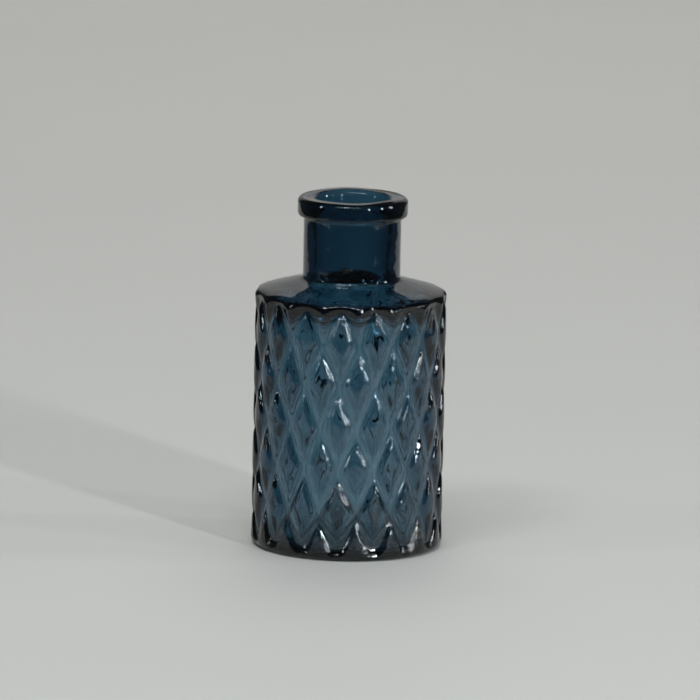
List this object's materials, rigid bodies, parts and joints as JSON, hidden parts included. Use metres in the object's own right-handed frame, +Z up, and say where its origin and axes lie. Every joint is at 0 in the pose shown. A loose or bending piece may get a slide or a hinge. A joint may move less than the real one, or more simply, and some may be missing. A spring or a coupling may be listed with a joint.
{
  "type": "bud vase",
  "caption": "Glass bud vase with a straight round body covered in a net of diamonds, a flat sloping shoulder, a short straight neck and a thick rounded lip.",
  "frame": {"origin": "on the vase's axis at the height of the foot it stands on", "axes": "+Z up along the vase's axis, from the foot to the lip; a column of diamonds faces -Y"},
  "size_m": [0.07, 0.07, 0.1282],
  "materials": {
    "glass": "glossy dark blue translucent"
  },
  "bodies": {
    "root": {"lip_ring": "glass", "neck_tube": "glass", "shoulder": "glass", "body_wall": "glass", "heel_ring": "glass", "base_disc": "glass"}
  },
  "joints": []
}
